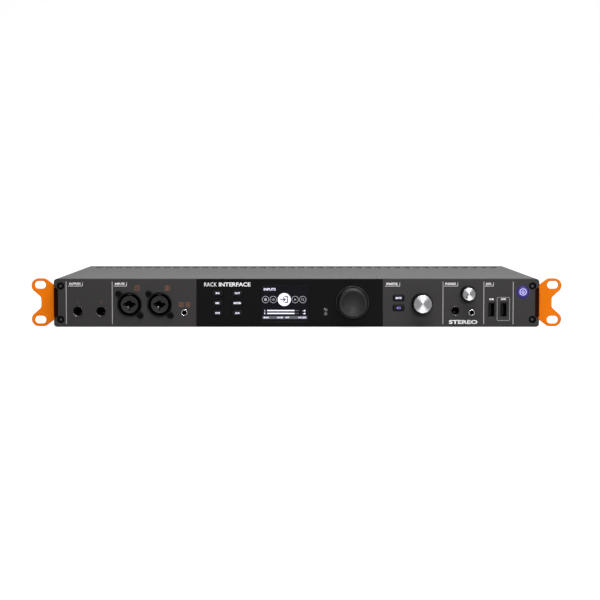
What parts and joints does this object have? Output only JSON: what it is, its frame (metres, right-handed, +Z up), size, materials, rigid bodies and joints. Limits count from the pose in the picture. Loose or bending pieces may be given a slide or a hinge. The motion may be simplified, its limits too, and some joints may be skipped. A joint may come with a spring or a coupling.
{
  "type": "rack audio interface",
  "caption": "One-unit rack audio interface with bolt-on rack ears, a display, a large push-and-turn encoder, level knobs, push buttons and audio sockets on both faces.",
  "frame": {"origin": "centre of the underside of the bottom tray, between its left and right sides and its front and rear edges", "axes": "+X to the right as seen from the front, +Y to the rear so the front panel faces -Y, +Z up"},
  "size_m": [0.4826, 0.3027, 0.0436],
  "materials": {
    "panel_grey": "fine satin powder coat on a machined panel",
    "cover_grey": "satin paint on folded steel sheet",
    "ear_orange": "satin orange powder coat",
    "black_steel": "black oxide",
    "gloss_black": "polished",
    "matte_black": "moulded, fine texture",
    "knob_silver": "spun, concentric brushing",
    "nickel": "nickel plate",
    "lens": "polished smoked lens",
    "circuit_board": "green solder mask"
  },
  "bodies": {
    "chassis": {"front_panel": "panel_grey", "centre_fascia": "gloss_black", "inner_front_plate": "black_steel", "display_window": "lens", "display_module": "matte_black", "panel_screw_1": "black_steel", "panel_screw_2": "black_steel", "panel_screw_3": "black_steel", "panel_screw_4": "black_steel", "output_jack_1": "matte_black", "output_jack_2": "matte_black", "combo_jack_1": "matte_black", "combo_jack_2": "matte_black", "combo_screw_1": "black_steel", "combo_screw_2": "black_steel", "combo_screw_3": "black_steel", "combo_screw_4": "black_steel", "aux_jack": "nickel", "phones_jack": "matte_black", "phones_mini_jack": "nickel", "usb_port_1": "nickel", "usb_port_2": "nickel", "control_board": "circuit_board", "nav_encoder": "black_steel", "monitor_encoder": "black_steel", "phones_pot": "black_steel", "bottom_tray": "cover_grey", "top_cover": "cover_grey", "main_board": "circuit_board", "left_rack_ear": "ear_orange", "right_rack_ear": "ear_orange", "left_ear_screw_1": "black_steel", "left_ear_screw_2": "black_steel", "right_ear_screw_1": "black_steel", "right_ear_screw_2": "black_steel", "rear_panel": "cover_grey", "rear_line_jacks": "matte_black", "optical_ports": "matte_black", "word_clock_sockets": "nickel", "usb_c_port": "nickel", "power_inlet": "matte_black"},
    "mode_button_1": {"mode_button_1": "matte_black"},
    "mode_button_2": {"mode_button_2": "matte_black"},
    "mode_button_3": {"mode_button_3": "matte_black"},
    "mode_button_4": {"mode_button_4": "matte_black"},
    "mode_button_5": {"mode_button_5": "matte_black"},
    "mode_button_6": {"mode_button_6": "matte_black"},
    "mute_button": {"mute_button": "matte_black"},
    "speaker_button": {"speaker_button": "matte_black"},
    "back_button": {"back_button": "matte_black"},
    "power_button": {"power_button": "matte_black"},
    "nav_plunger": {"nav_plunger": "matte_black"},
    "nav_knob": {"nav_knob": "matte_black", "nav_shaft": "nickel"},
    "monitor_knob": {"monitor_knob": "matte_black", "monitor_knob_cap": "knob_silver", "monitor_shaft": "nickel"},
    "phones_knob": {"phones_knob": "matte_black", "phones_knob_cap": "knob_silver", "phones_shaft": "nickel"}
  },
  "joints": [
    {"name": "mode_button_1_press", "type": "slide", "parent": "chassis", "child": "mode_button_1", "axis": [0, 1, 0], "range_m": [0, 0.0006], "stiffness_N_per_m": 400, "springref_m": -0.0005},
    {"name": "mode_button_2_press", "type": "slide", "parent": "chassis", "child": "mode_button_2", "axis": [0, 1, 0], "range_m": [0, 0.0006], "stiffness_N_per_m": 400, "springref_m": -0.0005},
    {"name": "mode_button_3_press", "type": "slide", "parent": "chassis", "child": "mode_button_3", "axis": [0, 1, 0], "range_m": [0, 0.0006], "stiffness_N_per_m": 400, "springref_m": -0.0005},
    {"name": "mode_button_4_press", "type": "slide", "parent": "chassis", "child": "mode_button_4", "axis": [0, 1, 0], "range_m": [0, 0.0006], "stiffness_N_per_m": 400, "springref_m": -0.0005},
    {"name": "mode_button_5_press", "type": "slide", "parent": "chassis", "child": "mode_button_5", "axis": [0, 1, 0], "range_m": [0, 0.0006], "stiffness_N_per_m": 400, "springref_m": -0.0005},
    {"name": "mode_button_6_press", "type": "slide", "parent": "chassis", "child": "mode_button_6", "axis": [0, 1, 0], "range_m": [0, 0.0006], "stiffness_N_per_m": 400, "springref_m": -0.0005},
    {"name": "mute_button_press", "type": "slide", "parent": "chassis", "child": "mute_button", "axis": [0, 1, 0], "range_m": [0, 0.0006], "stiffness_N_per_m": 400, "springref_m": -0.0005},
    {"name": "speaker_button_press", "type": "slide", "parent": "chassis", "child": "speaker_button", "axis": [0, 1, 0], "range_m": [0, 0.0006], "stiffness_N_per_m": 400, "springref_m": -0.0005},
    {"name": "back_button_press", "type": "slide", "parent": "chassis", "child": "back_button", "axis": [0, 1, 0], "range_m": [0, 0.0006], "stiffness_N_per_m": 400, "springref_m": -0.0005},
    {"name": "power_button_press", "type": "slide", "parent": "chassis", "child": "power_button", "axis": [0, 1, 0], "range_m": [0, 0.0006], "stiffness_N_per_m": 400, "springref_m": -0.0005},
    {"name": "nav_press", "type": "slide", "parent": "chassis", "child": "nav_plunger", "axis": [0, 1, 0], "range_m": [0, 0.0005], "stiffness_N_per_m": 600, "springref_m": -0.0005},
    {"name": "nav_turn", "type": "hinge", "parent": "nav_plunger", "child": "nav_knob", "pos_m": [0.0508, -0.1412, 0.0221], "axis": [0, 1, 0], "continuous": true},
    {"name": "monitor_turn", "type": "hinge", "parent": "chassis", "child": "monitor_knob", "pos_m": [0.1136, -0.1412, 0.0214], "axis": [0, 1, 0], "continuous": true},
    {"name": "phones_turn", "type": "hinge", "parent": "chassis", "child": "phones_knob", "pos_m": [0.1553, -0.1412, 0.0303], "axis": [0, 1, 0], "range_deg": [0, 290]}
  ]
}
